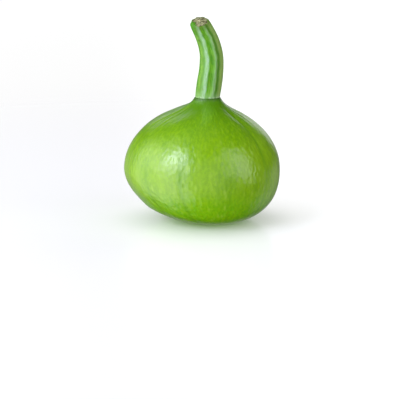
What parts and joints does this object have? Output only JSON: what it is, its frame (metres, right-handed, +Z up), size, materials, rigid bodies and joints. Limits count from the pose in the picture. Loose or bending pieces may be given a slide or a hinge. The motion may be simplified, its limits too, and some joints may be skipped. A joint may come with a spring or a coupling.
{
  "type": "round bottle gourd",
  "caption": "Round bottle gourd: a squat, slightly lopsided waxy fruit with faint grooves, standing on its blossom end, and a ridged, bent stem with a dried cut end.",
  "frame": {"origin": "on the surface that the gourd stands on, under the middle of its widest ring", "axes": "+Z up along the stem; the front, towards which the stem's end leans, faces -Y; +X is on the right as seen from the front"},
  "size_m": [0.1197, 0.1183, 0.1562],
  "materials": {
    "fruit_skin": "satin",
    "stem": "satin"
  },
  "bodies": {
    "root": {"fruit": "fruit_skin", "stem": "stem"}
  },
  "joints": []
}
